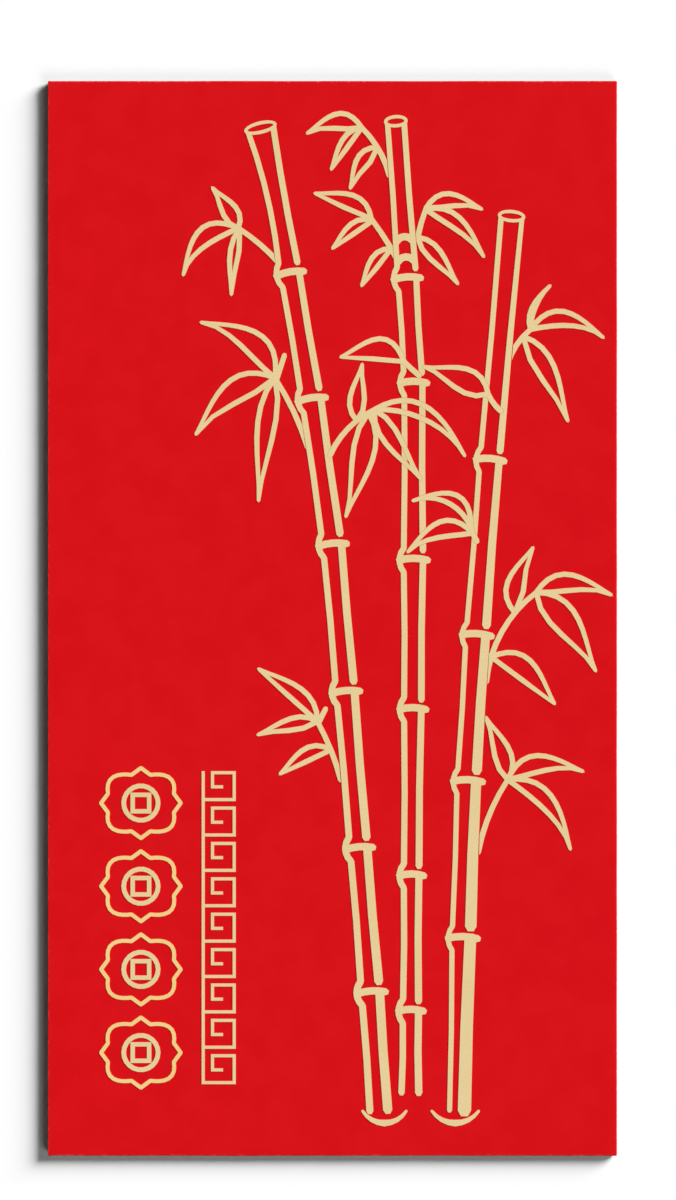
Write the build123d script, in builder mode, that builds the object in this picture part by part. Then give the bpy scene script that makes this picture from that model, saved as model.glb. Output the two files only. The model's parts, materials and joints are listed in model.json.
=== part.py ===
from build123d import *
import os
from math import ceil, cos, sin, sqrt, tau
from typing import NamedTuple

# A red paper gift envelope, lying on its back: X runs across it, +Y to its closing edge and +Z up, out of its
# decorated front. The origin is on the table, under the middle of the envelope. All sizes are in millimetres.

# Paper, glue and overall size
ENVELOPE_WIDTH = 90.0
ENVELOPE_LENGTH = 170.0
PAPER = 0.30
GLUE_FILM = 0.05
CREASE_GAP = 0.10  # clear gap inside the tightest side crease

# Flaps and edges of the die-cut sheet
CLOSING_FLAP_DEPTH = 38.0
CLOSING_FLAP_TAPER = 6.0
CLOSING_FLAP_CORNER = 9.0
BOTTOM_FLAP_DEPTH = 20.0
BOTTOM_FLAP_TAPER = 7.0
BOTTOM_FLAP_CORNER = 4.0
SIDE_FLAP_WIDTH = 14.0
SIDE_FLAP_TAPER = 6.0
SEAM_SETBACK = 1.0  # from the envelope's left edge to the free edge of the back panel
MOUTH_SETBACK = 4.0  # from the closing crease down to the mouth edge of the back panel
MOUTH_SHOULDER = 7.0  # width of the slope from the side crease down to the mouth edge
THUMB_NOTCH_RADIUS = 10.0
THUMB_NOTCH_LIP = 3.0
GLUE_MARGIN = 2.0  # bare paper between a glue film and the edge of its flap

# Gold foil
FOIL_THICKNESS = 0.06
FOIL_GAP = 0.03  # hairline left where one figure passes behind another
SMALLEST_ISLAND = 0.4  # area of the smallest foil island worth stamping
CURVE_ERROR = 0.03  # how far the straight facets of a foil outline may leave its true curve
BLUNT_END = 30  # angle off a stroke's heading at which its blunt end is cut
CUBIC_SHARE = 3 / 8  # how much each of a cubic curve's two inner points pulls on its middle

# Bamboo figure
BAMBOO_INSET = 45.0  # from the zero point of the bamboo's own drawing to the envelope's right edge
BAMBOO_RISE = 85.0  # from the envelope's bottom edge to the same point
COLLAR_LINE = 1.15
COLLAR_OVERHANG = 0.80
COLLAR_ARCH = 0.30
RING_ARCH = 0.75
KNUCKLE_REACH = 1.9  # how far the bulge at a collar's left end runs up and down the cane
JOINT_GAP = 0.45
CANE_WAIST = 0.10
RIM_DEPTH = 2.0
RIM_LINE = 0.55
RIM_FLARE = 0.15
RIM_FACETS = 18
ROOT_SAG = 1.9
ROOT_LINE = 1.05
ROOT_TIP_LINE = 0.45
TWIG_LINE = 0.90
TWIG_TIP_LINE = 0.80
LEAF_LINE = 0.82
LEAF_TIP_LINE = 0.55
LEAF_SHOULDER = 0.30  # shares of a leaf's length at which its sides are pulled apart and drawn together
LEAF_MERGE = 0.72

# Medallions and fret band
MEDALLION_COUNT = 4
MEDALLION_PITCH = 13.15
MEDALLION_INSET = 14.7  # from the envelope's left edge to the middle of the medallions
MEDALLION_TOP_RISE = 55.8  # from the envelope's bottom edge to the middle of the topmost one
MEDALLION_HALF_WIDTH = 6.3  # from the middle to the middle of the frame line at a tip
MEDALLION_HALF_HEIGHT = 5.55
MEDALLION_KINK = 1.5  # how far the foot of each pointed tip stands to its side
MEDALLION_TIP = 1.10  # how far each pointed tip stands out past the feet of the lobes
MEDALLION_SWELL = 0.40  # how far the two pulls that round a lobe stand out past its feet
MEDALLION_ROUND = 0.75  # how far each pull stands back from the lobe's corner
MEDALLION_LINE = 0.62
COIN_RADIUS = 3.1
COIN_RING = 0.75
COIN_FACETS = 22
COIN_HOLE = 1.9
COIN_HOLE_LINE = 0.70
FRET_INSET = 27.0  # from the envelope's left edge to the middle of the band
FRET_RISE = 36.1  # from the envelope's bottom edge to the middle of the band
FRET_LENGTH = 49.5
FRET_WIDTH = 5.4
FRET_LINE = 0.50
FRET_COUNT = 9
FRET_REACH = 0.76  # shares of a hook's pitch and height at which its line turns
FRET_RETURN = 0.30
FRET_CURL_X = 0.36
FRET_CURL_Y = 0.64


class Station(NamedTuple):
    """A place on a cane's middle line, and how wide the cane is there over both of its side lines."""

    x: float
    y: float
    width: float
    joint: bool = True


class Cane(NamedTuple):
    """One bamboo cane: two side lines from its foot to its head, and a collar at each joint between them."""

    name: str
    stations: tuple[Station, ...]  # from its foot up to its head, with a collar at each joint between
    left_line: tuple[float, float]  # line width at the foot and at the head
    right_line: tuple[float, float]
    rings: tuple[float, ...] = ()  # heights of plain rings that don't break the side lines


class Root(NamedTuple):
    """The curved ground stroke under the foot of a cane."""

    name: str
    middle: tuple[float, float]
    span: float


class Leaf(NamedTuple):
    """One leaf: where on its twig it starts, as a share, where its tip lies, and how its sides bow."""

    fork: float
    tip: tuple[float, float]
    bows: tuple[float, float]  # shares of its length, positive to the left as seen towards the tip


class Spur(NamedTuple):
    """A bare end of twig: where on the twig it starts, as a share, and where its tip lies."""

    fork: float
    tip: tuple[float, float]


class Spray(NamedTuple):
    """A twig that leaves a cane, with its leaves and its bare spurs."""

    name: str
    root: tuple[float, float]
    tip: tuple[float, float]
    bow: float
    leaves: tuple[Leaf, ...]
    spurs: tuple[Spur, ...] = ()


CANES = (
    Cane("left_cane",
         (Station(7.4, -77.8, 4.1), Station(6.1, -59.2, 4.1), Station(4.2, -36.4, 3.9),
          Station(2.1, -11.7, 4.0), Station(0.0, 11.6, 4.0), Station(-3.3, 34.6, 4.0),
          Station(-6.7, 54.5, 3.9), Station(-9.4, 69.3, 3.8, joint=False), Station(-11.4, 77.6, 5.0)),
         (1.10, 0.85), (1.45, 0.95)),
    Cane("right_cane",
         (Station(20.0, -77.8, 3.8), Station(20.6, -50.6, 4.2), Station(21.4, -25.8, 4.2),
          Station(22.8, -2.7, 4.2), Station(24.9, 25.0, 4.0), Station(28.3, 63.6, 4.1)),
         (0.80, 0.85), (2.10, 0.75)),
    Cane("middle_cane",
         (Station(12.3, -75.0, 3.8), Station(12.4, -62.1, 3.5), Station(12.5, -40.7, 3.4),
          Station(12.7, -14.4, 3.7), Station(12.8, 9.2, 4.0), Station(12.8, 37.2, 3.8),
          Station(11.8, 53.7, 3.8), Station(10.0, 78.6, 3.5)),
         (1.00, 0.85), (1.15, 0.90), (56.4, 59.6)),
)

ROOTS = (Root("left_root", (8.2, -77.9), 6.9), Root("right_root", (19.4, -77.9), 7.4))

# Sprays that pass in front of the canes
FRONT_SPRAYS = (
    Spray("left_cane_inner_leaves", (-0.4, 25.8), (6.6, 33.0), 0.9,
          (Leaf(0.68, (4.7, 40.2), (0.14, -0.08)), Leaf(1.0, (20.9, 25.7), (0.25, 0.14)),
           Leaf(1.0, (14.0, 22.0), (0.06, -0.10)), Leaf(0.9, (2.1, 16.1), (0.12, -0.05)))),
    Spray("right_cane_inner_leaf", (26.6, 32.8), (24.6, 35.5), 0.2,
          (Leaf(1.0, (14.4, 39.8), (-0.19, 0.09)),)),
    Spray("right_cane_inner_pair", (22.8, 12.2), (21.9, 14.4), 0.1,
          (Leaf(1.0, (12.7, 18.6), (-0.35, -0.20)), Leaf(0.6, (11.9, 10.5), (-0.28, -0.08)))),
    Spray("middle_cane_low_leaf", (13.7, 38.4), (11.3, 40.6), 0.05,
          (Leaf(1.0, (1.3, 41.3), (-0.31, -0.01)),)),
)

BACK_SPRAYS = (
    Spray("left_cane_top_leaves", (-8.3, 56.0), (-14.9, 61.7), -0.3,
          (Leaf(1.0, (-19.0, 68.1), (0.09, -0.17)), Leaf(1.0, (-23.6, 54.3), (-0.11, -0.31)),
           Leaf(0.97, (-16.0, 51.2), (0.02, -0.09)))),
    Spray("left_cane_outer_leaves", (-3.9, 27.0), (-9.1, 38.0), -0.4,
          (Leaf(1.0, (-20.8, 46.8), (-0.26, -0.06)), Leaf(1.0, (-21.6, 29.1), (-0.23, -0.03)),
           Leaf(1.0, (-11.7, 18.6), (-0.08, 0.04))), (Spur(0.97, (-7.6, 41.6)),)),
    Spray("left_cane_low_leaves", (1.3, -25.5), (-2.4, -16.3), -0.3,
          (Leaf(1.0, (-11.7, -8.0), (-0.16, 0.0)), Leaf(1.0, (-11.8, -18.4), (-0.13, 0.04)),
           Leaf(0.5, (-8.3, -24.6), (-0.20, 0.0))), (Spur(0.97, (-1.1, -14.3)),)),
    Spray("middle_cane_top_leaves", (9.0, 70.0), (4.6, 77.6), -0.6,
          (Leaf(1.0, (-4.0, 76.7), (-0.28, -0.04)), Leaf(1.0, (-0.2, 71.0), (-0.15, 0.0)),
           Leaf(0.55, (2.8, 68.0), (-0.20, 0.02)))),
    Spray("middle_cane_left_leaves", (10.2, 56.8), (6.1, 63.2), -0.15,
          (Leaf(1.0, (-2.8, 67.2), (-0.21, 0.01)), Leaf(0.95, (0.0, 58.5), (-0.18, 0.0)),
           Leaf(0.25, (4.6, 52.6), (-0.18, 0.01)))),
    Spray("middle_cane_right_leaves", (13.4, 60.0), (14.8, 64.9), 0.1,
          (Leaf(1.0, (23.6, 64.7), (0.25, 0.05)), Leaf(0.95, (23.9, 57.2), (0.19, 0.05)),
           Leaf(0.05, (19.8, 52.9), (0.12, -0.06)))),
    Spray("right_cane_top_leaves", (27.3, 38.8), (31.3, 45.7), 0.7,
          (Leaf(1.0, (34.4, 52.6), (0.15, 0.10)), Leaf(1.0, (42.8, 44.4), (0.28, 0.11)),
           Leaf(0.8, (37.2, 31.2), (0.13, -0.03)))),
    Spray("right_cane_outer_leaves", (24.3, -10.0), (32.2, 4.1), 1.7,
          (Leaf(0.72, (31.7, 11.2), (0.21, -0.01)), Leaf(1.0, (44.1, 3.7), (0.24, 0.05)),
           Leaf(1.0, (41.6, -8.3), (0.17, -0.05)), Leaf(0.24, (35.1, -13.5), (0.24, 0.0)))),
    Spray("right_cane_low_leaves", (23.0, -37.0), (27.7, -25.5), 0.6,
          (Leaf(1.0, (24.2, -15.6), (-0.16, 0.05)), Leaf(1.0, (39.6, -24.2), (0.26, 0.07)),
           Leaf(1.0, (37.6, -36.5), (0.22, 0.08)))),
)

# Heights of the paper layers above the table, from the flaps at the back up to the foil
back_bottom = PAPER + GLUE_FILM
back_top = back_bottom + PAPER
side_flap_bottom = back_top + GLUE_FILM
side_flap_top = side_flap_bottom + PAPER
front_bottom = side_flap_top + CREASE_GAP
front_top = front_bottom + PAPER

# Outer radii of the creases, and the lines where the front panel ends and they begin
end_crease = front_top / 2
right_crease = (front_top - back_bottom) / 2
left_crease = (front_top - side_flap_bottom) / 2
panel_left = left_crease - ENVELOPE_WIDTH / 2
panel_right = ENVELOPE_WIDTH / 2 - right_crease
panel_end = ENVELOPE_LENGTH / 2 - end_crease
panel_middle = (panel_left + panel_right) / 2
seam_edge = SEAM_SETBACK - ENVELOPE_WIDTH / 2
mouth_edge = panel_end - MOUTH_SETBACK


def crease_profile(centre, radius, first_angle):
    """The cross-section of a paper crease: half a ring of paper around its centre."""
    with BuildSketch() as profile:
        with BuildLine():
            outside = CenterArc(centre, radius, first_angle, 180)
            inside = CenterArc(centre, radius - PAPER, first_angle, 180)
            Line(outside @ 0, inside @ 0)
            Line(outside @ 1, inside @ 1)
        make_face()
    return profile.sketch


def flap_outline(crease_y, depth, taper, corner):
    """A flap as wide as the front panel at its crease, drawn in to rounded corners; depth runs along Y."""
    free_y = crease_y + depth
    with BuildSketch() as outline:
        with BuildLine():
            Polyline(
                (panel_left, crease_y),
                (panel_right, crease_y),
                (panel_right - taper, free_y),
                (panel_left + taper, free_y),
                close=True,
            )
        make_face()
        by_distance = outline.vertices().sort_by(lambda vertex: abs(vertex.Y - free_y))
        fillet(by_distance[:2], radius=corner)
    return outline.sketch


def facet_shares(path):
    """Shares of the way along a curve at which an outline of straight facets has its points."""
    bow = (path @ 0.5 - (path @ 0 + path @ 1) * 0.5).length
    count = max(2, ceil(sqrt(bow / CURVE_ERROR)))
    return [step / count for step in range(count + 1)]


def stroke_end(point, heading, width, pointed):
    """The corners of a stroke's end, from its left side to its right side as seen along the heading."""
    turns = (0,) if pointed else (BLUNT_END, -BLUNT_END)
    return [point + heading.rotate(Axis.Z, turn) * (width / 2) for turn in turns]


def brush_stroke(path, widths, pointed=False):
    """A mark along a curve, with its own width at the start, the middle and the end of the curve."""
    left = []
    right = []
    for share in facet_shares(path):
        width = between(widths[:2], share * 2) if share < 0.5 else between(widths[1:], share * 2 - 1)
        side = (path % share).rotate(Axis.Z, 90) * (width / 2)
        left.append(path @ share + side)
        right.append(path @ share - side)
    far_end = stroke_end(path @ 1, path % 1, widths[2], pointed)
    near_end = stroke_end(path @ 0, (path % 0) * -1, widths[0], pointed)
    with BuildSketch() as mark:
        with BuildLine():
            Polyline(*left, *far_end, *reversed(right), *near_end, close=True)
        make_face()
    return mark.sketch


def between(pair, share):
    """The value at a share of the way from the first of a pair to the second."""
    return pair[0] + (pair[1] - pair[0]) * share


def cane_joints(cane):
    """The heights of a cane's collars."""
    return [station.y for station in cane.stations[1:-1] if station.joint]


def cane_at(cane, height):
    """The middle of a cane at a height, its direction there and half its width."""
    lower, upper = cane.stations[:2]
    for station in cane.stations[2:]:
        if height > upper.y:
            lower, upper = upper, station
    share = (height - lower.y) / (upper.y - lower.y)
    middle = Vector(between((lower.x, upper.x), share), height)
    along = Vector(upper.x - lower.x, upper.y - lower.y).normalized()
    return middle, along, between((lower.width, upper.width), share) / 2


def line_width_at(cane, line_widths, height):
    """The width of one of a cane's side lines at a height."""
    foot, head = cane.stations[0], cane.stations[-1]
    return between(line_widths, (height - foot.y) / (head.y - foot.y))


def side_point(cane, line_widths, side, height, inset=0.0):
    """The middle of a side line at a height; side is 1 for the left line and -1 for the right one."""
    middle, along, half_width = cane_at(cane, height)
    reach = half_width - line_width_at(cane, line_widths, height) / 2 - inset
    return middle + along.rotate(Axis.Z, 90) * side * reach


def cross_stroke(cane, height, overhang, arch, grow=0.0):
    """An arched stroke across a cane, standing out past its sides by overhang and made larger by grow."""
    middle, along, half_width = cane_at(cane, height)
    reach = along.rotate(Axis.Z, 90) * (half_width + overhang - COLLAR_LINE / 2)
    return brush_stroke(SagittaArc(middle - reach, middle + reach, -arch), [COLLAR_LINE + 2 * grow] * 3)


def knuckle_stroke(cane, height):
    """The bulge of a cane's left line around the end of a collar."""
    middle, along, half_width = cane_at(cane, height)
    collar_end = middle + along.rotate(Axis.Z, 90) * (half_width + COLLAR_OVERHANG - COLLAR_LINE / 2)
    above = side_point(cane, cane.left_line, 1, height + KNUCKLE_REACH)
    below = side_point(cane, cane.left_line, 1, height - KNUCKLE_REACH)
    width = line_width_at(cane, cane.left_line, height)
    return brush_stroke(ThreePointArc(above, collar_end, below), [width] * 3)


def side_stroke(cane, lower, upper, side, line_widths):
    """One side line of a cane between two heights, drawn in a little half-way up."""
    middle = (lower + upper) / 2
    points = [
        side_point(cane, line_widths, side, upper),
        side_point(cane, line_widths, side, middle, CANE_WAIST),
        side_point(cane, line_widths, side, lower),
    ]
    widths = [line_width_at(cane, line_widths, height) for height in (upper, middle, lower)]
    return brush_stroke(ThreePointArc(*points), widths)


def rim_face(cane, inset):
    """The oval at the head of a cane, turned with the cane and drawn in all round by inset."""
    middle, along, half_width = cane_at(cane, cane.stations[-1].y)
    rise = along * (RIM_DEPTH / 2 - inset)
    reach = along.rotate(Axis.Z, -90) * (half_width + RIM_FLARE - inset)
    turns = [tau * step / RIM_FACETS for step in range(RIM_FACETS)]
    with BuildSketch() as oval:
        with BuildLine():
            Polyline(*[middle + reach * cos(turn) + rise * sin(turn) for turn in turns], close=True)
        make_face()
    return oval.sketch


def visible_marks(marks, hidden_by):
    """The marks of one figure in one sketch, less what passes behind other figures."""
    with BuildSketch() as outline:
        for mark in marks:
            add(mark)
        for shadow in hidden_by:
            add(shadow, mode=Mode.SUBTRACT)
        for island in outline.faces():
            if island.area < SMALLEST_ISLAND:
                add(island, mode=Mode.SUBTRACT)
    return outline.sketch


def cane_outline(cane, hidden_by):
    """The foil marks of one cane, with its open rim; its right line stops above each collar."""
    joints = cane_joints(cane)
    heights = [cane.stations[0].y, *joints, cane.stations[-1].y]
    marks = [cross_stroke(cane, joint, COLLAR_OVERHANG, COLLAR_ARCH) for joint in joints]
    marks += [knuckle_stroke(cane, joint) for joint in joints]
    marks += [cross_stroke(cane, ring, 0, RING_ARCH) for ring in cane.rings]
    for start, end in zip(heights, heights[1:]):
        clearance = (COLLAR_LINE + line_width_at(cane, cane.right_line, start)) / 2 + JOINT_GAP
        right_start = start + clearance if start in joints else start
        left_start = start + KNUCKLE_REACH if start in joints else start
        left_end = end - KNUCKLE_REACH if end in joints else end
        marks.append(side_stroke(cane, right_start, end, -1, cane.right_line))
        marks.append(side_stroke(cane, left_start, left_end, 1, cane.left_line))
    with BuildSketch() as outline:
        for mark in marks:
            add(mark)
        add(rim_face(cane, 0))
        add(rim_face(cane, RIM_LINE), mode=Mode.SUBTRACT)
    return visible_marks([outline.sketch], hidden_by)


def cane_shadow(cane):
    """The whole silhouette of a cane and a narrow gap around it, which hides what passes behind."""
    with BuildSketch() as shadow:
        for lower, upper in zip(cane.stations, cane.stations[1:]):
            widths = [between((lower.width, upper.width), share) + 2 * FOIL_GAP for share in (0, 0.5, 1)]
            add(brush_stroke(Line((lower.x, lower.y), (upper.x, upper.y)), widths))
        for joint in cane_joints(cane):
            add(cross_stroke(cane, joint, COLLAR_OVERHANG, COLLAR_ARCH, FOIL_GAP))
    return shadow.sketch


def leaf_strokes(base, leaf, grow):
    """The two side lines of one leaf, which meet at its base and at its tip."""
    tip = Vector(*leaf.tip)
    along = tip - base
    leftwards = along.rotate(Axis.Z, 90)
    widths = [width + 2 * grow for width in (LEAF_LINE, LEAF_LINE, LEAF_TIP_LINE)]
    middle_bow = sum(leaf.bows) / 2
    merge = base + along * LEAF_MERGE + leftwards * middle_bow
    pulls = [bow / CUBIC_SHARE - middle_bow for bow in leaf.bows]
    shoulders = [base + along * LEAF_SHOULDER + leftwards * pull for pull in pulls]
    sides = [Bezier(base, shoulder, merge, tip) for shoulder in shoulders]
    return [brush_stroke(side, widths, pointed=True) for side in sides]


def spray_outline(spray, hidden_by, grow=0.0):
    """The foil marks of one twig, its leaves and its spurs, made larger all round by grow."""
    twig = SagittaArc(spray.root, spray.tip, spray.bow)
    twig_widths = [between((TWIG_LINE, TWIG_TIP_LINE), share) + 2 * grow for share in (0, 0.5, 1)]
    marks = [brush_stroke(twig, twig_widths)]
    for leaf in spray.leaves:
        marks += leaf_strokes(twig @ leaf.fork, leaf, grow)
    for spur in spray.spurs:
        marks.append(brush_stroke(Line(twig @ spur.fork, spur.tip), twig_widths))
    return visible_marks(marks, hidden_by)


def root_outline(root):
    """The foil mark of one ground stroke, broadest in its middle."""
    reach = Vector(root.span / 2, 0)
    ground = SagittaArc(Vector(*root.middle) - reach, Vector(*root.middle) + reach, -ROOT_SAG)
    return brush_stroke(ground, (ROOT_TIP_LINE, ROOT_LINE, ROOT_TIP_LINE))


def medallion_outline():
    """A lobed frame with four pointed tips around an old coin with a square hole."""
    lobe_x = MEDALLION_HALF_WIDTH - MEDALLION_TIP
    lobe_y = MEDALLION_HALF_HEIGHT - MEDALLION_TIP
    lobe_start = (MEDALLION_KINK, lobe_y)
    upper_pull = (lobe_x - MEDALLION_ROUND, lobe_y + MEDALLION_SWELL)
    side_pull = (lobe_x + MEDALLION_SWELL, lobe_y - MEDALLION_ROUND)
    lobe_end = (lobe_x, MEDALLION_KINK)
    lobe = Bezier(lobe_start, upper_pull, side_pull, lobe_end)
    upper_tip = Line((0, MEDALLION_HALF_HEIGHT), lobe_start)
    side_tip = Line(lobe_end, (MEDALLION_HALF_WIDTH, 0))
    marks = [brush_stroke(path, [MEDALLION_LINE] * 3) for path in (upper_tip, lobe, side_tip)]
    with BuildSketch() as outline:
        for mark in marks:
            add(mark)
        mirror(about=Plane.YZ)
        mirror(about=Plane.XZ)
        with BuildSketch(mode=Mode.ADD):
            RegularPolygon(COIN_RADIUS, COIN_FACETS)
            RegularPolygon(COIN_RADIUS - COIN_RING, COIN_FACETS, mode=Mode.SUBTRACT)
            Rectangle(COIN_HOLE + 2 * COIN_HOLE_LINE, COIN_HOLE + 2 * COIN_HOLE_LINE)
            Rectangle(COIN_HOLE, COIN_HOLE, mode=Mode.SUBTRACT)
    return outline.sketch


def fret_outline():
    """A row of square hooks along one rail, which ends level with the last hook."""
    pitch = (FRET_LENGTH - FRET_LINE) / (FRET_COUNT - 1 + FRET_REACH)
    height = FRET_WIDTH - FRET_LINE
    with BuildSketch() as hook:
        with BuildLine():
            Polyline(
                (0, 0),
                (height, 0),
                (height, pitch * FRET_REACH),
                (height * FRET_RETURN, pitch * FRET_REACH),
                (height * FRET_RETURN, pitch * FRET_CURL_X),
                (height * FRET_CURL_Y, pitch * FRET_CURL_X),
            )
        trace(line_width=FRET_LINE)
    with BuildSketch() as outline:
        Rectangle(FRET_LINE, FRET_LENGTH)
        with GridLocations(0, pitch, 1, FRET_COUNT):
            with Locations((0, -pitch * FRET_REACH / 2)):
                add(hook.sketch)
    return outline.sketch


def stamp_foil(name, marks):
    """Stamp one foil figure on the front panel and write it out."""
    with BuildPart() as foil:
        with BuildSketch(Plane.XY.offset(front_top)):
            add(marks)
        extrude(amount=FOIL_THICKNESS)
    foil.part.label = name
    export_step(foil.part, f"parts/{name}.step")


os.makedirs("parts", exist_ok=True)

# The folded sheet, panel by panel between its creases
with BuildPart() as front_panel:
    with BuildSketch(Plane.XY.offset(front_bottom)):
        with Locations((panel_middle, 0)):
            Rectangle(panel_right - panel_left, 2 * panel_end)
    extrude(amount=PAPER)
front_panel.part.label = "front_panel"
export_step(front_panel.part, "parts/front_panel.step")

with BuildPart() as back_panel:
    with BuildSketch(Plane.XY.offset(back_bottom)) as back_outline:
        with BuildLine():
            Polyline(
                (seam_edge, -panel_end),
                (panel_right, -panel_end),
                (panel_right, panel_end),
                (panel_right - MOUTH_SHOULDER, mouth_edge),
                (seam_edge, mouth_edge),
                close=True,
            )
        make_face()
        with Locations((0, mouth_edge)):
            Circle(THUMB_NOTCH_RADIUS, mode=Mode.SUBTRACT)
        notch_corners = back_outline.vertices().filter_by(
            lambda vertex: abs(abs(vertex.X) - THUMB_NOTCH_RADIUS) < PAPER
        )
        fillet(notch_corners, radius=THUMB_NOTCH_LIP)
    extrude(amount=PAPER)
back_panel.part.label = "back_panel"
export_step(back_panel.part, "parts/back_panel.step")

with BuildPart() as side_glue_flap:
    with BuildSketch(Plane.XY.offset(side_flap_bottom)):
        with BuildLine():
            Polyline(
                (panel_left, -panel_end),
                (panel_left + SIDE_FLAP_WIDTH, SIDE_FLAP_TAPER - panel_end),
                (panel_left + SIDE_FLAP_WIDTH, mouth_edge - SIDE_FLAP_TAPER),
                (panel_left, panel_end),
                close=True,
            )
        make_face()
    extrude(amount=PAPER)
side_glue_flap.part.label = "side_glue_flap"
export_step(side_glue_flap.part, "parts/side_glue_flap.step")

with BuildPart() as bottom_flap:
    with BuildSketch(Plane.XY):
        add(flap_outline(-panel_end, BOTTOM_FLAP_DEPTH, BOTTOM_FLAP_TAPER, BOTTOM_FLAP_CORNER))
    extrude(amount=PAPER)
bottom_flap.part.label = "bottom_flap"
export_step(bottom_flap.part, "parts/bottom_flap.step")

with BuildPart() as closing_flap:
    with BuildSketch(Plane.XY):
        add(flap_outline(panel_end, -CLOSING_FLAP_DEPTH, CLOSING_FLAP_TAPER, CLOSING_FLAP_CORNER))
    extrude(amount=PAPER)
closing_flap.part.label = "closing_flap"
export_step(closing_flap.part, "parts/closing_flap.step")

# The creases, swept straight along the panel edges
with BuildPart() as right_side_fold:
    with BuildSketch(Plane.XZ.offset(-panel_end)):
        add(crease_profile((panel_right, front_top - right_crease), right_crease, -90))
    extrude(amount=2 * panel_end)
right_side_fold.part.label = "right_side_fold"
export_step(right_side_fold.part, "parts/right_side_fold.step")

with BuildPart() as left_side_fold:
    with BuildSketch(Plane.XZ.offset(-panel_end)):
        add(crease_profile((panel_left, front_top - left_crease), left_crease, 90))
    extrude(amount=2 * panel_end)
left_side_fold.part.label = "left_side_fold"
export_step(left_side_fold.part, "parts/left_side_fold.step")

with BuildPart() as bottom_fold:
    with BuildSketch(Plane.YZ.offset(panel_left)):
        add(crease_profile((-panel_end, end_crease), end_crease, 90))
    extrude(amount=panel_right - panel_left)
bottom_fold.part.label = "bottom_fold"
export_step(bottom_fold.part, "parts/bottom_fold.step")

with BuildPart() as top_fold:
    with BuildSketch(Plane.YZ.offset(panel_left)):
        add(crease_profile((panel_end, end_crease), end_crease, -90))
    extrude(amount=panel_right - panel_left)
top_fold.part.label = "top_fold"
export_step(top_fold.part, "parts/top_fold.step")

# The glue films that hold the pocket together
side_glue_left = seam_edge + GLUE_MARGIN
side_glue_right = panel_left + SIDE_FLAP_WIDTH - GLUE_MARGIN
side_glue_low = SIDE_FLAP_TAPER - panel_end
side_glue_high = mouth_edge - SIDE_FLAP_TAPER
with BuildPart() as side_seam_glue:
    with BuildSketch(Plane.XY.offset(back_top)):
        with Locations(((side_glue_left + side_glue_right) / 2, (side_glue_low + side_glue_high) / 2)):
            Rectangle(side_glue_right - side_glue_left, side_glue_high - side_glue_low)
    extrude(amount=GLUE_FILM)
side_seam_glue.part.label = "side_seam_glue"
export_step(side_seam_glue.part, "parts/side_seam_glue.step")

bottom_glue_left = panel_left + BOTTOM_FLAP_TAPER + GLUE_MARGIN
bottom_glue_right = panel_right - BOTTOM_FLAP_TAPER - GLUE_MARGIN
with BuildPart() as bottom_seam_glue:
    with BuildSketch(Plane.XY.offset(PAPER)):
        with Locations((panel_middle, BOTTOM_FLAP_DEPTH / 2 - panel_end)):
            Rectangle(bottom_glue_right - bottom_glue_left, BOTTOM_FLAP_DEPTH - 2 * GLUE_MARGIN)
    extrude(amount=GLUE_FILM)
bottom_seam_glue.part.label = "bottom_seam_glue"
export_step(bottom_seam_glue.part, "parts/bottom_seam_glue.step")

# The foil figures, in front first: what comes later gives way to what is there already
hidden_by = []

bamboo_place = Pos(ENVELOPE_WIDTH / 2 - BAMBOO_INSET, BAMBOO_RISE - ENVELOPE_LENGTH / 2)

for root in ROOTS:
    stamp_foil(root.name, bamboo_place * root_outline(root))
    hidden_by.append(root_outline(root))

for spray in FRONT_SPRAYS:
    stamp_foil(spray.name, bamboo_place * spray_outline(spray, hidden_by))
    hidden_by.append(spray_outline(spray, [], grow=FOIL_GAP))

for cane in CANES:
    stamp_foil(cane.name, bamboo_place * cane_outline(cane, hidden_by))
    hidden_by.append(cane_shadow(cane))

for spray in BACK_SPRAYS:
    stamp_foil(spray.name, bamboo_place * spray_outline(spray, hidden_by))
    hidden_by.append(spray_outline(spray, [], grow=FOIL_GAP))

medallion_marks = medallion_outline()
for number in range(MEDALLION_COUNT):
    rise = MEDALLION_TOP_RISE - number * MEDALLION_PITCH
    place = Pos(MEDALLION_INSET - ENVELOPE_WIDTH / 2, rise - ENVELOPE_LENGTH / 2)
    stamp_foil(f"medallion_{number + 1}", place * medallion_marks)

rail_inset = FRET_INSET - (FRET_WIDTH - FRET_LINE) / 2
fret_place = Pos(rail_inset - ENVELOPE_WIDTH / 2, FRET_RISE - ENVELOPE_LENGTH / 2)
stamp_foil("fret_band", fret_place * fret_outline())
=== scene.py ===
"""Looks of a red paper gift envelope with a gold foil drawing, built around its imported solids."""
import json
import logging
import math
from dataclasses import dataclass
from enum import Enum

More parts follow.
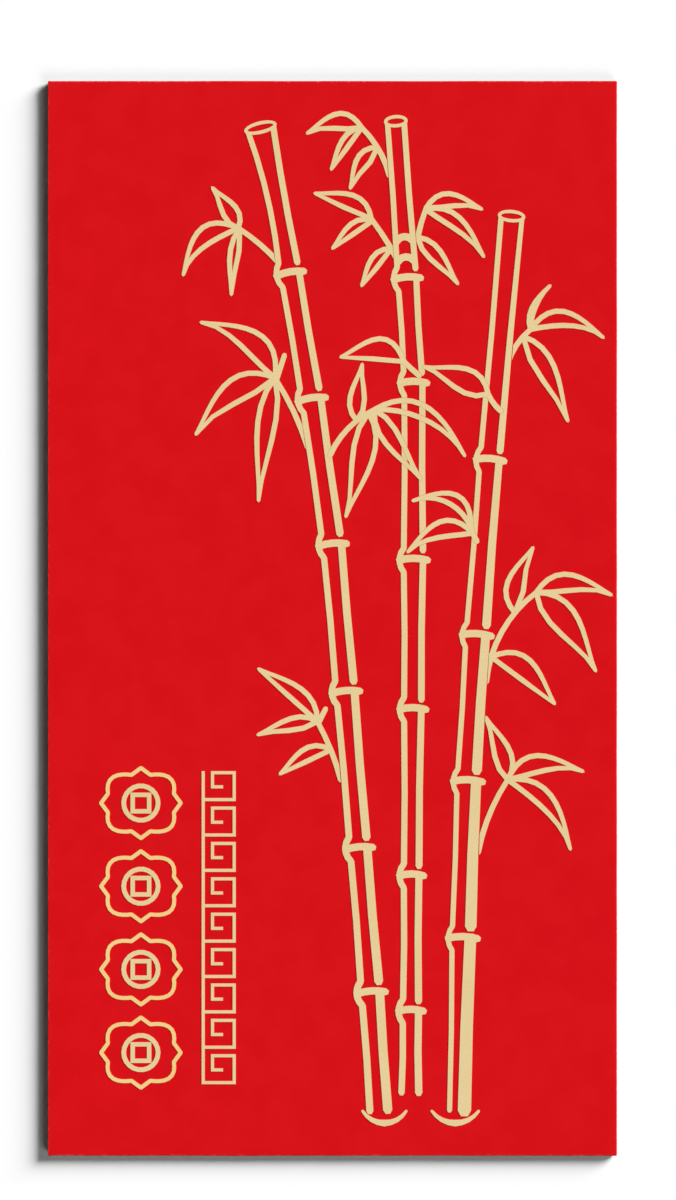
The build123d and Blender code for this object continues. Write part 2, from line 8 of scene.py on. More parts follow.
import bmesh
import bpy
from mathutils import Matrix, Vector


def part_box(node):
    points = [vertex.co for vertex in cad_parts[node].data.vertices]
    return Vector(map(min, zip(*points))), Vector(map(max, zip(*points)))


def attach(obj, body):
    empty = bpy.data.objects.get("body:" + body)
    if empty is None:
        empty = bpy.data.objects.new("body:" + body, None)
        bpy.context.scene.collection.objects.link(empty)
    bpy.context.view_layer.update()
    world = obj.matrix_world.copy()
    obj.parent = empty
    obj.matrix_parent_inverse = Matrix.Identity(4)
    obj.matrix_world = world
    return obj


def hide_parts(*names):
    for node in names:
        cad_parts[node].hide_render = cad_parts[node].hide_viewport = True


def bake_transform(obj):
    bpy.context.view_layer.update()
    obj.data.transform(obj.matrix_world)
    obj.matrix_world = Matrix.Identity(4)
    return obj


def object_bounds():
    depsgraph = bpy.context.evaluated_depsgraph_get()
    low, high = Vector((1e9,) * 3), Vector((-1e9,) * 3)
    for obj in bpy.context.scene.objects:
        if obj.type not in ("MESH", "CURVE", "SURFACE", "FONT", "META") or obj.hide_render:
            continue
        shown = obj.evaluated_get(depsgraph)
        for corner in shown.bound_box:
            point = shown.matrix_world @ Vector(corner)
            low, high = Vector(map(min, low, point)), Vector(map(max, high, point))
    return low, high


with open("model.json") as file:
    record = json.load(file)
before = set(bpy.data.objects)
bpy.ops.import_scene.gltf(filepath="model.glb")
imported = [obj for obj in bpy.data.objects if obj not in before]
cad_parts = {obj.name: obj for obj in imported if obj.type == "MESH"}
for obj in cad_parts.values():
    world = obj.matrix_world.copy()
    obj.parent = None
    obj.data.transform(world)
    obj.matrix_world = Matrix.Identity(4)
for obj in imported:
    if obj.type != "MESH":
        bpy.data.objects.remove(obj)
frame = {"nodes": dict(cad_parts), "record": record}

CAD_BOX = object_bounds()
LOG = logging.getLogger("red_envelope")

Colour = tuple[float, float, float]
Range = tuple[float, float]

MM = 0.001  # one millimetre in metres
WHITE = (1.0, 1.0, 1.0, 1.0)
NONE_TO_ALL: Range = (0.0, 1.0)
CLOUD_CORE: Range = (0.3, 0.7)  # holds most of a cloud noise
CLOUD_SPREAD: Range = (0.2, 0.8)  # holds nearly all of it
MIX_COLOURS = (6, 7)  # the colour inputs of a mix node, after those of its other kinds
MIX_RESULT = 2  # its colour output

CHANNEL_TOP = 255  # the brightest value of a display channel
TOE_END = 0.04045  # the display curve is straight up to here
TOE_SLOPE = 12.92
CURVE_OFFSET = 0.055
CURVE_POWER = 2.4


class Printed(Enum):
    """Which face of a flat sheet carries the red print."""

    UP = 1
    DOWN = -1


class Outward(Enum):
    """Which way a crease stands out along the axis that crosses it."""

    PLUS = 1
    MINUS = -1


class SheetFace(Enum):
    """The material index of each kind of face on a paper piece."""

    PRINT = 0
    INSIDE = 1
    CUT = 2


class Along(Enum):
    """A level axis of the frame, such as the one that a crease runs along."""

    X = 0
    Y = 1


def linear_channel(value: float) -> float:
    """Turn one channel of a display colour into linear light.

    Args:
        value: The channel, from 0 to 255.

    Returns:
        Its light, from 0 to 1.
    """
    share = value / CHANNEL_TOP
    if share <= TOE_END:
        return share / TOE_SLOPE
    return ((share + CURVE_OFFSET) / (1 + CURVE_OFFSET)) ** CURVE_POWER


def linear(colour: Colour) -> tuple[float, float, float, float]:
    """Turn a display colour into the linear colour, with full alpha, that shaders take."""
    return (*(linear_channel(value) for value in colour), 1.0)


def smooth_step(low: float, high: float, value: float) -> float:
    """Rise smoothly from 0 at low to 1 at high."""
    share = min(1.0, max(0.0, (value - low) / (high - low)))
    return share * share * (3 - 2 * share)


def wave_mix(angles: list[float]) -> float:
    """The mean of the sine waves at those angles, moved and scaled to lie from 0 to 1."""
    return (1 + sum(math.sin(angle) for angle in angles) / len(angles)) / 2


@dataclass
class NodeGraph:
    """A material under construction, with its shader and its coordinates in millimetres."""

    material: bpy.types.Material

    @classmethod
    def start(cls, name: str) -> "NodeGraph":
        """Make a new node material.

        Args:
            name: The material's name.

        Returns:
            The material under construction.
        """
        material = bpy.data.materials.new(name)
        material.use_nodes = True
        return cls(material)

    @property
    def shader(self) -> bpy.types.Node:
        """The surface shader of the material."""
        return self.material.node_tree.nodes["Principled BSDF"]

    def node(self, kind: str, **settings: object) -> bpy.types.Node:
        """Add a node and set its properties.

        Args:
            kind: The node's type name.
            settings: Property values by name.

        Returns:
            The new node.
        """
        made = self.material.node_tree.nodes.new(kind)
        for name, value in settings.items():
            setattr(made, name, value)
        return made

    def link(self, source: bpy.types.NodeSocket, target: bpy.types.NodeSocket) -> None:
        """Join an output to an input."""
        self.material.node_tree.links.new(source, target)

    def set(self, **values: object) -> None:
        """Set plain values on the shader's own sockets, with spaces written as underscores."""
        for name, value in values.items():
            self.shader.inputs[name.replace("_", " ")].default_value = value

    def millimetres(self) -> bpy.types.NodeSocket:
        """Read the place on the piece.

        Returns:
            The place in millimetres.
        """
        place = self.node("ShaderNodeTexCoord")
        scale = self.node("ShaderNodeVectorMath", operation="SCALE")
        scale.inputs["Scale"].default_value = 1 / MM
        self.link(place.outputs["Object"], scale.inputs[0])
        return scale.outputs[0]

    def stretched(self, place: bpy.types.NodeSocket, turn: float, stretch: Vector) -> bpy.types.NodeSocket:
        """Turn and stretch a place, for grain that runs one way.

        Args:
            place: The place to change.
            turn: Angle about Z, in degrees.
            stretch: How much finer the grain gets along each axis.

        Returns:
            The changed place.
        """
        mapping = self.node("ShaderNodeMapping")
        mapping.inputs["Rotation"].default_value = (0, 0, math.radians(turn))
        mapping.inputs["Scale"].default_value = stretch
        self.link(place, mapping.inputs["Vector"])
        return mapping.outputs["Vector"]

    def noise(self, place: bpy.types.NodeSocket, per_mm: float, detail: float) -> bpy.types.NodeSocket:
        """Add cloud noise.

        Args:
            place: Where to read it.
            per_mm: How many clouds lie along a millimetre.
            detail: How many finer layers it has.

        Returns:
            The noise, about 0.5 in the middle.
        """
        made = self.node("ShaderNodeTexNoise")
        made.inputs["Scale"].default_value = per_mm
        made.inputs["Detail"].default_value = detail
        self.link(place, made.inputs["Vector"])
        return made.outputs["Fac"]

    def ranged(self, value: bpy.types.NodeSocket, source: Range, target: Range) -> bpy.types.NodeSocket:
        """Map a value from one range to another, with soft ends.

        Args:
            value: What to map.
            source: The range it is read over.
            target: The range that it is given.

        Returns:
            The mapped value.
        """
        made = self.node("ShaderNodeMapRange", interpolation_type="SMOOTHSTEP")
        made.inputs["From Min"].default_value, made.inputs["From Max"].default_value = source
        made.inputs["To Min"].default_value, made.inputs["To Max"].default_value = target
        self.link(value, made.inputs["Value"])
        return made.outputs["Result"]

    def maths(self, operation: str, *values: bpy.types.NodeSocket | float) -> bpy.types.NodeSocket:
        """Work out one number from others.

        Args:
            operation: The name of the operation.
            values: Sockets or plain numbers.

        Returns:
            The result.
        """
        made = self.node("ShaderNodeMath", operation=operation)
        for index, value in enumerate(values):
            if isinstance(value, bpy.types.NodeSocket):
                self.link(value, made.inputs[index])
            else:
                made.inputs[index].default_value = value
        return made.outputs[0]

    def mixed(self, share: bpy.types.NodeSocket, first: bpy.types.NodeSocket | Colour,
              second: bpy.types.NodeSocket | Colour) -> bpy.types.NodeSocket:
        """Mix two colours.

        Args:
            share: How much of the second colour shows.
            first: A socket or a display colour.
            second: A socket or a display colour.

        Returns:
            The mixed colour.
        """
        made = self.node("ShaderNodeMix", data_type="RGBA")
        self.link(share, made.inputs["Factor"])
        for index, value in zip(MIX_COLOURS, (first, second)):
            if isinstance(value, bpy.types.NodeSocket):
                self.link(value, made.inputs[index])
            else:
                made.inputs[index].default_value = linear(value)
        return made.outputs[MIX_RESULT]

    def bump(self, height: bpy.types.NodeSocket, strength: float, depth: float) -> None:
        """Give the shader a relief.

        Args:
            height: The relief, from 0 to 1.
            strength: How much of it shows.
            depth: Its real depth, in metres.
        """
        made = self.node("ShaderNodeBump")
        made.inputs["Strength"].default_value = strength
        made.inputs["Distance"].default_value = depth
        self.link(height, made.inputs["Height"])
        self.link(made.outputs["Normal"], self.shader.inputs["Normal"])


@dataclass(frozen=True)
class RedPrint:
    """Matt red ink on coated paper, with the paper's tooth under it and hairline cracks along the creases."""

    light: Colour = (216, 17, 24)
    deep: Colour = (213, 13, 21)
    crack: Colour = (233, 150, 140)
    mottle_per_mm: float = 0.22
    mottle_layers: int = 3
    fibre_per_mm: float = 0.8
    fibre_layers: int = 3
    fibre_stretch: float = 7.0
    fibre_turn: float = 28.0
    tooth_per_mm: float = 4.5
    tooth_layers: int = 4
    tooth_depth: float = 0.010 * MM
    tooth_strength: float = 0.12
    crack_per_mm: float = 2.6
    crack_layers: int = 4
    crack_range: Range = (0.52, 0.68)
    crack_share: float = 0.35
    crack_start_mm: tuple[float, float] = (0.28, 0.38)  # how far inside the sides and the ends they start
    crack_full_mm: float = 0.02  # how far inside the outline they are full
    roughness: Range = (0.62, 0.78)
    gloss: float = 0.04

    def crease_mask(self, graph: NodeGraph, place: bpy.types.NodeSocket) -> bpy.types.NodeSocket:
        """Find the outermost line of the four creases.

        Args:
            graph: The material under construction.
            place: The place in millimetres.

        Returns:
            1 on the outermost line and 0 on the panels.
        """
        parts = graph.node("ShaderNodeSeparateXYZ")
        graph.link(place, parts.inputs[0])
        outline = (CAD_BOX[1] - CAD_BOX[0]) / 2 / MM
        masks = []
        for axis in Along:
            distance = graph.maths("ABSOLUTE", parts.outputs[axis.value])
            edge = outline[axis.value]
            band = (edge - self.crack_start_mm[axis.value], edge - self.crack_full_mm)
            masks.append(graph.ranged(distance, band, NONE_TO_ALL))
        return graph.maths("MAXIMUM", *masks)

    def material(self) -> bpy.types.Material:
        """Build the node material.

        Returns:
            The finished material.
        """
        graph = NodeGraph.start("red_print")
        place = graph.millimetres()
        mottle = graph.noise(place, self.mottle_per_mm, self.mottle_layers)
        fibre_place = graph.stretched(place, self.fibre_turn, Vector((1, self.fibre_stretch, 1)))
        fibre = graph.noise(fibre_place, self.fibre_per_mm, self.fibre_layers)
        tooth = graph.noise(place, self.tooth_per_mm, self.tooth_layers)
        flecks = graph.noise(place, self.crack_per_mm, self.crack_layers)
        breaks = graph.ranged(flecks, self.crack_range, (0, self.crack_share))
        cracks = graph.maths("MULTIPLY", self.crease_mask(graph, place), breaks)
        ink = graph.mixed(graph.ranged(mottle, CLOUD_CORE, NONE_TO_ALL), self.light, self.deep)
        graph.link(graph.mixed(cracks, ink, self.crack), graph.shader.inputs["Base Color"])
        graph.link(graph.ranged(tooth, CLOUD_SPREAD, self.roughness), graph.shader.inputs["Roughness"])
        graph.bump(graph.maths("ADD", tooth, fibre), self.tooth_strength, self.tooth_depth)
        graph.set(Specular_IOR_Level=self.gloss)
        return graph.material


@dataclass(frozen=True)
class BarePaper:
    """Unprinted paper, as on the inside of the envelope, with pale fibres."""

    name: str = "paper_inside"
    light: Colour = (241, 237, 228)
    deep: Colour = (229, 223, 211)
    fibre_per_mm: float = 0.9
    fibre_layers: int = 4
    fibre_stretch: float = 6.0
    fibre_turn: float = 28.0
    tooth_per_mm: float = 5.0
    tooth_layers: int = 4
    tooth_depth: float = 0.015 * MM
    tooth_strength: float = 0.25
    roughness: Range = (0.75, 0.9)
    gloss: float = 0.2

    def material(self) -> bpy.types.Material:
        """Build the node material.

        Returns:
            The finished material.
        """
        graph = NodeGraph.start(self.name)
        place = graph.millimetres()
        stretch = Vector((1, self.fibre_stretch, self.fibre_stretch))
        fibre_place = graph.stretched(place, self.fibre_turn, stretch)
        fibre = graph.noise(fibre_place, self.fibre_per_mm, self.fibre_layers)
        tooth = graph.noise(place, self.tooth_per_mm, self.tooth_layers)
        colour = graph.mixed(graph.ranged(fibre, CLOUD_CORE, NONE_TO_ALL), self.light, self.deep)
        graph.link(colour, graph.shader.inputs["Base Color"])
        graph.link(graph.ranged(tooth, CLOUD_SPREAD, self.roughness), graph.shader.inputs["Roughness"])
        graph.bump(graph.maths("ADD", tooth, fibre), self.tooth_strength, self.tooth_depth)
        graph.set(Specular_IOR_Level=self.gloss)
        return graph.material


@dataclass(frozen=True)
class GoldFoil:
    """Hot-stamped metal foil that lets the paper's tooth through."""

    name: str
    light: Colour
    deep: Colour
    cloud_per_mm: float = 0.09
    cloud_layers: int = 3
    tooth_per_mm: float = 3.5
    tooth_layers: int = 4
    tooth_range: Range = (0.25, 0.75)
    tooth_depth: float = 0.008 * MM
    tooth_strength: float = 0.10
    roughness: Range = (0.25, 0.37)

    def material(self) -> bpy.types.Material:
        """Build the node material.

        Returns:
            The finished material.
        """
        graph = NodeGraph.start(self.name)
        place = graph.millimetres()
        cloud = graph.noise(place, self.cloud_per_mm, self.cloud_layers)
        tooth = graph.noise(place, self.tooth_per_mm, self.tooth_layers)
        colour = graph.mixed(graph.ranged(cloud, CLOUD_CORE, NONE_TO_ALL), self.light, self.deep)
        graph.link(colour, graph.shader.inputs["Base Color"])
        graph.link(graph.ranged(tooth, self.tooth_range, self.roughness), graph.shader.inputs["Roughness"])
        graph.bump(tooth, self.tooth_strength, self.tooth_depth)
        graph.set(Metallic=1.0)
        return graph.material


@dataclass(frozen=True)
class DriedGlue:
    """A thin dried film of paper glue, streaked by the roller."""

    light: Colour = (236, 229, 208)
    deep: Colour = (222, 211, 182)
    streak_per_mm: float = 0.5
    streak_layers: int = 4
    streak_stretch: float = 8.0
    roughness: Range = (0.3, 0.5)

    def material(self) -> bpy.types.Material:
        """Build the node material.

        Returns:
            The finished material.
        """
        graph = NodeGraph.start("dried_glue")
        place = graph.stretched(graph.millimetres(), turn=0, stretch=Vector((self.streak_stretch, 1, 1)))
        streak = graph.noise(place, self.streak_per_mm, self.streak_layers)
        colour = graph.mixed(graph.ranged(streak, CLOUD_CORE, NONE_TO_ALL), self.light, self.deep)
        graph.link(colour, graph.shader.inputs["Base Color"])
        graph.link(graph.ranged(streak, CLOUD_CORE, self.roughness), graph.shader.inputs["Roughness"])
        return graph.material


@dataclass(frozen=True)
class Finishes:
    """The materials of the envelope, each built once."""

    printed: bpy.types.Material
    inside: bpy.types.Material
    cut: bpy.types.Material
    foil: bpy.types.Material
    warm_foil: bpy.types.Material
    glue: bpy.types.Material

    @classmethod
    def build(cls) -> "Finishes":
        """Build every material.

        Returns:
            The finished materials.
        """
        cut_paper = BarePaper("paper_cut_edge", light=(236, 226, 214), deep=(221, 196, 184))
        foil = GoldFoil("gold_foil", light=(225, 202, 152), deep=(222, 198, 146))
        warm_foil = GoldFoil("warm_gold_foil", light=(236, 204, 137), deep=(233, 199, 130))
        return cls(
            printed=RedPrint().material(),
            inside=BarePaper().material(),
            cut=cut_paper.material(),
            foil=foil.material(),
            warm_foil=warm_foil.material(),
            glue=DriedGlue().material(),
        )

    def paper(self) -> list[bpy.types.Material]:
        """The materials of a paper piece, in the order of SheetFace."""
        return [self.printed, self.inside, self.cut]


@dataclass(frozen=True)
class PaperRelief:
    """The slight hollows of a paper panel that isn't quite flat, none above its flat height."""

    depth_mm: float = 0.05
    margin_mm: float = 14.0
    long_wave_mm: float = 150.0
    cross_wave_mm: float = 96.0
    short_wave_mm: float = 61.0
    wave_starts: tuple[float, float, float] = (0.0, 2.0, 4.0)  # in radians

    def drop(self, place: Vector) -> float:
        """How far the front panel lies under its flat height at a place.

        Args:
            place: The place in millimetres.

        Returns:
            The drop in millimetres, 0 at the creases.
        """
        low, high = (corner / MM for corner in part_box("front_panel"))
        border = min(place.x - low.x, high.x - place.x, place.y - low.y, high.y - place.y)
        window = smooth_step(0, self.margin_mm, border)
        waves = (
            place.y / self.long_wave_mm + place.x / self.cross_wave_mm,
            place.x / self.short_wave_mm - place.y / self.cross_wave_mm,
            place.y / self.short_wave_mm + place.x / self.long_wave_mm,
        )
        angles = [math.tau * wave + start for wave, start in zip(waves, self.wave_starts)]
        return self.depth_mm * window * wave_mix(angles)


class MeshDraft:
    """A mesh under construction, in millimetres."""

    merge_mm: float = 1e-4  # points that are closer are one point
    flat_angle: float = 0.5  # faces that turn by fewer degrees are one flat face

    def __init__(self, node: str | None = None) -> None:
        """Start empty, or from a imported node's own shape with its flat faces made whole.

        Args:
            node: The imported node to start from, if any.
        """
        self.bm = bmesh.new()
        if node is not None:
            self.bm.from_mesh(frame["nodes"][node].data)
            bmesh.ops.scale(self.bm, vec=(1 / MM,) * 3, verts=self.bm.verts)
            bmesh.ops.remove_doubles(self.bm, verts=self.bm.verts, dist=self.merge_mm)
            bmesh.ops.dissolve_limit(self.bm, angle_limit=math.radians(self.flat_angle), verts=self.bm.verts,
                                     edges=self.bm.edges)

    def slice(self, step: float) -> None:
        """Cut every face along a square grid.

        Args:
            step: The grid's spacing, whose lines go through the origin.
        """
        for axis in Along:
            places = [vert.co[axis.value] for vert in self.bm.verts]
            normal = Vector((0, 0, 0))
            normal[axis.value] = 1
            for line in range(math.ceil(min(places) / step), math.floor(max(places) / step) + 1):
                geometry = [*self.bm.verts, *self.bm.edges, *self.bm.faces]
                bmesh.ops.bisect_plane(self.bm, geom=geometry, dist=self.merge_mm,
                                       plane_co=normal * (line * step), plane_no=normal)

    def finish(self, name: str, materials: list[bpy.types.Material], smooth_angle: float) -> bpy.types.Object:
        """Turn the draft into an object of the scene, in metres.

        Args:
            name: The piece's name.
            materials: Its materials, by material index.
            smooth_angle: Edges sharper than this many degrees stay sharp.

        Returns:
            The new object.
        """
        bmesh.ops.scale(self.bm, vec=(MM,) * 3, verts=self.bm.verts)
        self.bm.normal_update()
        mesh = bpy.data.meshes.new(name)
        self.bm.to_mesh(mesh)
        self.bm.free()
        for material in materials:
            mesh.materials.append(material)
        mesh.shade_smooth()
        mesh.set_sharp_from_angle(angle=math.radians(smooth_angle))
        piece = bpy.data.objects.new(name, mesh)
        bpy.context.scene.collection.objects.link(piece)
        return piece


@dataclass(frozen=True)
class PaperPanel:
    """One flat panel of the folded sheet, printed on one face and bare on the other."""

    node: str
    printed: Printed
    relief: PaperRelief | None = None
    grid_mm: float = 5.0
    crease_gap_mm: float = 0.0  # how far its edge at the top crease stands back
    flat_rise: float = 0.5  # the normal of a face that isn't a cut edge rises by this or more
    smooth_angle: float = 30.0

    def build(self, finishes: Finishes) -> bpy.types.Object:
        """Build the panel's mesh and dress each of its faces.

        Args:
            finishes: The materials of the envelope.

        Returns:
            The panel, not yet riding on a body.
        """
        draft = MeshDraft(self.node)
        draft.slice(self.grid_mm)
        draft.bm.normal_update()
        for face in draft.bm.faces:
            face.material_index = self.kind_of(face.normal).value
        crease_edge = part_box(self.node)[1].y / MM - self.crease_gap_mm
        for vert in draft.bm.verts:
            vert.co.y = min(vert.co.y, crease_edge)
            if self.relief is not None:
                vert.co.z -= self.relief.drop(vert.co)
        piece = draft.finish(f"{self.node}_sheet", finishes.paper(), self.smooth_angle)
        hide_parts(self.node)
        return piece

    def kind_of(self, normal: Vector) -> SheetFace:
        """Tell what shows on a face of the panel.

        Args:
            normal: The face's normal.

        Returns:
            Print or bare paper on the flat faces, and cut paper round the edge.
        """
        if abs(normal.z) < self.flat_rise:
            return SheetFace.CUT
        return SheetFace.PRINT if normal.z * self.printed.value > 0 else SheetFace.INSIDE


@dataclass(frozen=True)
class Crease:
    """A fold between two panels, pressed flatter than a half round, with the slight unevenness of paper."""

    node: str
    along: Along
    outward: Outward
    segments: int = 24
    squareness: float = 10.0  # 2 is a half round, and more is closer to a square edge
    step_mm: float = 2.5
    unevenness: float = 0.05  # the share of its reach that its ripples take off at most
    ripple_mm: tuple[float, float] = (7.3, 3.1)  # the length of a radian of each ripple
    ripple_starts: tuple[float, float] = (9.0, 5.0)  # in radians for each millimetre of the crease's radius
    corner_share: float = 0.97  # how far a corner reaches, of the end crease beside it
    corner_steps: int = 5
    smooth_angle: float = 50.0

    @property
    def thickness(self) -> float:
        """The paper's thickness in millimetres."""
        low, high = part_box("front_panel")
        return (high.z - low.z) / MM

    @property
    def end_radius(self) -> float:
        """How far the creases at the envelope's two ends stand out, in millimetres."""
        low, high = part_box("bottom_fold")
        return (high.z - low.z) / MM / 2

    @property
    def end_kind(self) -> SheetFace:
        """What shows on its ends: cut paper, or the print that wraps round a corner on a side crease."""
        return SheetFace.CUT if self.along is Along.X else SheetFace.PRINT

    def stations(self, low: float, high: float) -> list[float]:
        """The places along the crease at which its section is drawn.

        Args:
            low: The first place, in millimetres.
            high: The last place.

        Returns:
            The places in order, with close ones past the ends of a side crease.
        """
        count = math.ceil((high - low) / self.step_mm)
        places = [low + (high - low) * step / count for step in range(count + 1)]
        if self.along is Along.X:
            return places
        reach = self.corner_share * self.end_radius
        steps = [reach * (step + 1) / self.corner_steps for step in range(self.corner_steps)]
        return [*(low - step for step in reversed(steps)), *places, *(high + step for step in steps)]

    def corner(self, past_end: float) -> tuple[float, float]:
        """How far a section past the panel's end drops, and the share of its reach that is left."""
        share = (1 - (past_end / self.end_radius) ** self.squareness) ** (1 / self.squareness)
        return self.end_radius * (1 - share), share

    def pressed(self, value: float) -> float:
        """Turn the sine or cosine of a round section into that of the pressed one."""
        return math.copysign(abs(value) ** (2 / self.squareness), value)

    def section(self, place: float, past_end: float) -> list[Vector]:
        """One cross-section, from the outer top round to the outer bottom and back along the inside.

        Args:
            place: Where along the crease it lies, in millimetres.
            past_end: How far past the end of the panel that is.

        Returns:
            The section's points, in millimetres.
        """
        low, high = (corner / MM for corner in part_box(self.node))
        across = Along.Y.value if self.along is Along.X else Along.X.value
        root = low[across] if self.outward is Outward.PLUS else high[across]
        radius = (high.z - low.z) / 2
        ripples = zip(self.ripple_mm, self.ripple_starts)
        angles = [place / length + radius * start for length, start in ripples]
        drop, share = self.corner(past_end)
        reach = self.outward.value * (1 - self.unevenness * wave_mix(angles)) * share
        turns = [math.pi / 2 - math.pi * step / self.segments for step in range(self.segments + 1)]
        rings = [(radius, turn) for turn in turns]
        rings += [(radius - self.thickness, turn) for turn in reversed(turns)]
        points = []
        for ring, turn in rings:
            point = Vector((0, 0, 0))
            point[self.along.value] = place
            point[across] = root + ring * self.pressed(math.cos(turn)) * reach
            height = (low.z + high.z) / 2 + ring * self.pressed(math.sin(turn))
            point.z = height - drop * (height - low.z) / (high.z - low.z)
            points.append(point)
        return points

    def build(self, finishes: Finishes) -> bpy.types.Object:
        """Sweep the section along the crease and dress its faces.

        Args:
            finishes: The materials of the envelope.

        Returns:
            The crease, not yet riding on a body.
        """
        low, high = (corner[self.along.value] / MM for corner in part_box(self.node))
        draft = MeshDraft()
        rows = []
        for place in self.stations(low, high):
            past_end = max(0.0, low - place, place - high)
            rows.append([draft.bm.verts.new(point) for point in self.section(place, past_end)])
        count = len(rows[0])
        for first, second in zip(rows, rows[1:]):
            for index in range(count):
                following = (index + 1) % count
                face = draft.bm.faces.new((first[index], first[following], second[following], second[index]))
                face.material_index = self.kind_of(index).value
        for row in (rows[0], rows[-1]):
            for index in range(self.segments):
                opposite = count - 1 - index
                face = draft.bm.faces.new((row[index], row[index + 1], row[opposite - 1], row[opposite]))
                face.material_index = self.end_kind.value
        bmesh.ops.recalc_face_normals(draft.bm, faces=draft.bm.faces)
        piece = draft.finish(f"{self.node}_crease", finishes.paper(), self.smooth_angle)
        piece.visible_diffuse = False  # keeps its red light off the floor, so that the shadow is neutral
        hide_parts(self.node)
        return piece

    def kind_of(self, index: int) -> SheetFace:
        """Tell what shows on one strip along the crease.

        Args:
            index: The point of the section at which the strip starts.

        Returns:
            Print outside, bare paper inside, and cut paper at its two edges.
        """
        if index < self.segments:
            return SheetFace.PRINT
        return SheetFace.INSIDE if self.segments < index < 2 * self.segments + 1 else SheetFace.CUT


@dataclass
class Pocket:
    """The glued pocket: its panels, its three fixed creases and its two films of glue."""

    panels: tuple[PaperPanel, ...] = (
        PaperPanel("front_panel", Printed.UP, relief=PaperRelief(), grid_mm=2.5),
        PaperPanel("back_panel", Printed.DOWN),
        PaperPanel("side_glue_flap", Printed.DOWN),
        PaperPanel("bottom_flap", Printed.DOWN),
    )
    creases: tuple[Crease, ...] = (
        Crease("right_side_fold", Along.Y, Outward.PLUS),
        Crease("left_side_fold", Along.Y, Outward.MINUS),
        Crease("bottom_fold", Along.X, Outward.MINUS),
    )
    glue_nodes: tuple[str, ...] = ("side_seam_glue", "bottom_seam_glue")
    body: str = "pocket"

    def build(self, finishes: Finishes) -> None:
        """Build and dress every piece of the pocket.

        Args:
            finishes: The materials of the envelope.
        """
        for part in (*self.panels, *self.creases):
            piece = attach(part.build(finishes), self.body)
            LOG.info("%s: %d faces", piece.name, len(piece.data.polygons))
        for node in self.glue_nodes:
            film = frame["nodes"][node]
            film.data.materials.clear()
            film.data.materials.append(finishes.glue)
            LOG.info("%s: glue film", node)


@dataclass
class ClosingFlap:
    """The closing flap and the live crease that it turns on."""

    panel: PaperPanel = PaperPanel("closing_flap", Printed.DOWN, crease_gap_mm=0.02)
    crease: Crease = Crease("top_fold", Along.X, Outward.PLUS)
    body: str = "flap"
    carrier: str = "pocket"

    def build(self, finishes: Finishes) -> None:
        """Build the flap, and the crease between it and the pocket.

        Args:
            finishes: The materials of the envelope.
        """
        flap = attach(self.panel.build(finishes), self.body)
        LOG.info("%s: %d faces", flap.name, len(flap.data.polygons))
        crease = self.crease.build(finishes)
        low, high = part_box(self.crease.node)
        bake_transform(crease)
        LOG.info("%s: %d faces, bends with the flap", crease.name, len(crease.data.polygons))


@dataclass
class FoilDrawing:
    """The gold foil figures on the front, seated on the panel's own relief."""

    relief: PaperRelief
    slot: str = "gold_foil"
    body: str = "pocket"
    grid_mm: float = 2.5
    framed: str = "medallion"  # how the names of the figures with a frame start
    coin_reach_mm: float = 3.6  # what lies further from the middle of such a figure is its frame
    smooth_angle: float = 1.0  # keeps every wall crisp, and still lets the relief run smoothly

    def build(self, finishes: Finishes) -> None:
        """Build and dress every figure.

        Args:
            finishes: The materials of the envelope.
        """
        parts = frame["record"]["subparts"]
        figures = [part["node"] for part in parts if part["material_slot"] == self.slot]
        for node in figures:
            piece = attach(self.figure(node, finishes), self.body)
            LOG.info("%s: %d faces", piece.name, len(piece.data.polygons))

    def figure(self, node: str, finishes: Finishes) -> bpy.types.Object:
        """Build one figure from its packed outline.

        Args:
            node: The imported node.
            finishes: The materials of the envelope.

        Returns:
            The figure, not yet riding on a body.
        """
        draft = MeshDraft(node)
        draft.slice(self.grid_mm)
        if node.startswith(self.framed):
            self.warm_frame(draft, node)
        for vert in draft.bm.verts:
            vert.co.z -= self.relief.drop(vert.co)
        piece = draft.finish(f"{node}_foil", [finishes.foil, finishes.warm_foil], self.smooth_angle)
        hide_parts(node)
        return piece

    def warm_frame(self, draft: MeshDraft, node: str) -> None:
        """Give the lobed frame of a medallion its warmer foil, and leave its coin in the common one.

        Args:
            draft: The medallion's mesh.
            node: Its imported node.
        """
        low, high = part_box(node)
        middle = (low + high) / 2 / MM
        for face in draft.bm.faces:
            reach = (face.calc_center_median().xy - middle.xy).length
            face.material_index = int(reach > self.coin_reach_mm)


@dataclass(frozen=True)
class Lamp:
    """A soft distant light, which lights a level floor by its share of the whole."""

    name: str
    direction: tuple[float, float, float]  # from the envelope to the lamp
    width: float  # in degrees, as seen from the envelope
    share: float

    def build(self) -> None:
        """Hang the lamp."""
        towards = Vector(self.direction).normalized()
        lamp = bpy.data.lights.new(self.name, "SUN")
        lamp.energy = self.share * math.pi / towards.z
        lamp.angle = math.radians(self.width)
        hung = bpy.data.objects.new(self.name, lamp)
        hung.rotation_mode = "QUATERNION"
        hung.rotation_quaternion = towards.to_track_quat("Z", "Y")
        bpy.context.scene.collection.objects.link(hung)


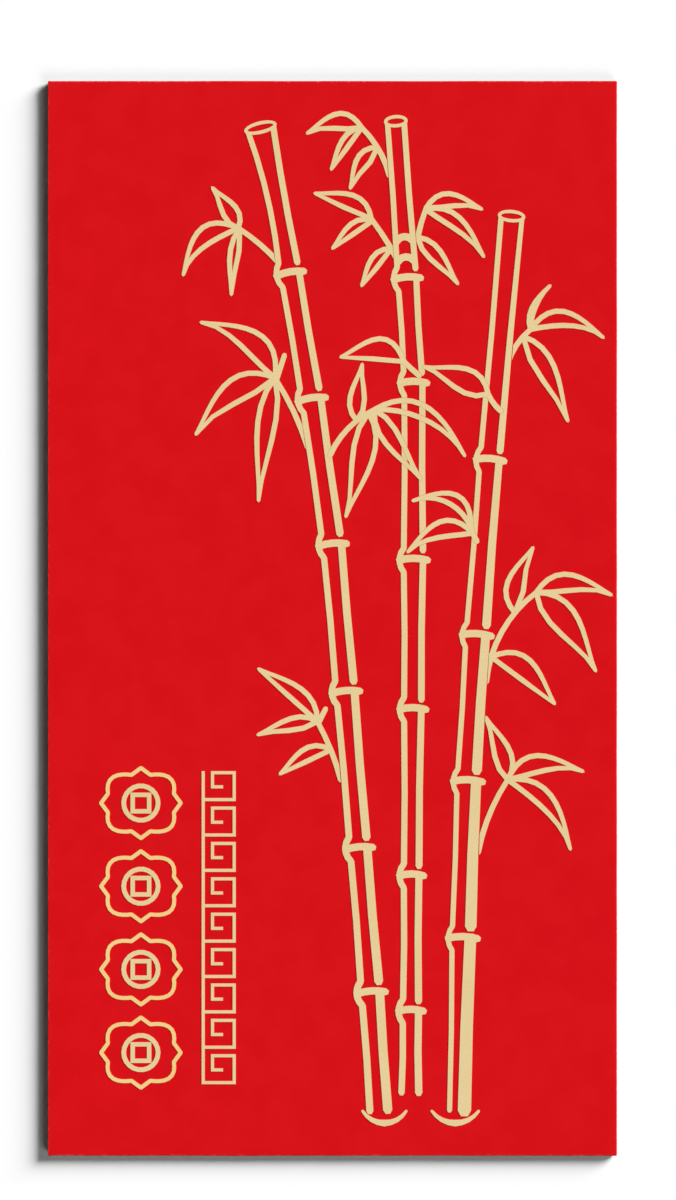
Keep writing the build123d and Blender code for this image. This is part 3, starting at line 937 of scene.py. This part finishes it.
@dataclass
class Studio:
    """A white floor, two soft lights from the right, a faint even fill and a camera straight above."""

    picture: tuple[int, int] = (676, 1200)
    mm_per_pixel: float = 0.1581
    envelope_middle_px: tuple[float, float] = (332.5, 618.4)
    lens_mm: float = 200.0
    sensor_mm: float = 36.0
    lamps: tuple[Lamp, ...] = (
        Lamp("key_light", direction=(1.95, 1.31, 1.0), width=31.0, share=0.835),
        Lamp("side_light", direction=(0.92, -1.32, 1.0), width=30.0, share=0.14),
    )
    fill_share: float = 0.025
    surround_level: float = 1.0  # white, to the camera and in reflections
    floor_size: float = 6.0
    floor_drop: float = 0.02 * MM

    def build(self) -> None:
        """Set up everything around the envelope."""
        bpy.context.scene.view_settings.view_transform = "Standard"
        self.floor()
        for lamp in self.lamps:
            lamp.build()
        self.fill_light()
        self.camera()
        LOG.info("studio: floor, %d lamps, fill light and camera", len(self.lamps))

    def floor(self) -> None:
        """Lay the white floor just under the envelope."""
        half = self.floor_size / 2
        corners = [(-half, -half), (half, -half), (half, half), (-half, half)]
        mesh = bpy.data.meshes.new("floor")
        mesh.from_pydata([(x, y, -self.floor_drop) for x, y in corners], [], [range(len(corners))])
        graph = NodeGraph.start("white_floor")
        graph.set(Base_Color=WHITE, Roughness=1.0, Specular_IOR_Level=0.0)
        mesh.materials.append(graph.material)
        floor = bpy.data.objects.new("floor", mesh)
        bpy.context.scene.collection.objects.link(floor)

    def fill_light(self) -> None:
        """Light the scene evenly, and show a white surround to the camera and in reflections."""
        world = bpy.data.worlds.new("surround")
        world.use_nodes = True
        bpy.context.scene.world = world
        tree = world.node_tree
        background = tree.nodes["Background"]
        background.inputs["Color"].default_value = WHITE
        rays = tree.nodes.new("ShaderNodeLightPath")
        seen = rays.outputs["Is Camera Ray"]
        for name in ("Is Glossy Ray", "Is Transmission Ray"):
            either = tree.nodes.new("ShaderNodeMath")
            either.operation = "MAXIMUM"
            tree.links.new(seen, either.inputs[0])
            tree.links.new(rays.outputs[name], either.inputs[1])
            seen = either.outputs[0]
        level = tree.nodes.new("ShaderNodeMapRange")
        level.inputs["To Min"].default_value = self.fill_share
        level.inputs["To Max"].default_value = self.surround_level
        tree.links.new(seen, level.inputs["Value"])
        tree.links.new(level.outputs["Result"], background.inputs["Strength"])

    def camera(self) -> None:
        """Hang the camera straight above, so that the envelope lies where it does in the picture."""
        lens = bpy.data.cameras.new("camera")
        lens.lens = self.lens_mm
        lens.sensor_width = self.sensor_mm
        middle = [side / 2 for side in self.picture]
        across = (middle[0] - self.envelope_middle_px[0]) * self.mm_per_pixel * MM
        up = (self.envelope_middle_px[1] - middle[1]) * self.mm_per_pixel * MM
        long_side = max(self.picture) * self.mm_per_pixel * MM
        camera = bpy.data.objects.new("camera", lens)
        camera.location = (across, up, CAD_BOX[1].z + long_side * self.lens_mm / self.sensor_mm)
        bpy.context.scene.collection.objects.link(camera)
        bpy.context.scene.camera = camera


def main() -> None:
    """Build the envelope's sub-assemblies and the studio in order."""
    logging.basicConfig(level=logging.INFO, format="%(name)s: %(message)s")
    finishes = Finishes.build()
    Pocket().build(finishes)
    ClosingFlap().build(finishes)
    FoilDrawing(PaperRelief()).build(finishes)
    Studio().build()


if __name__ == "__main__":
    main()
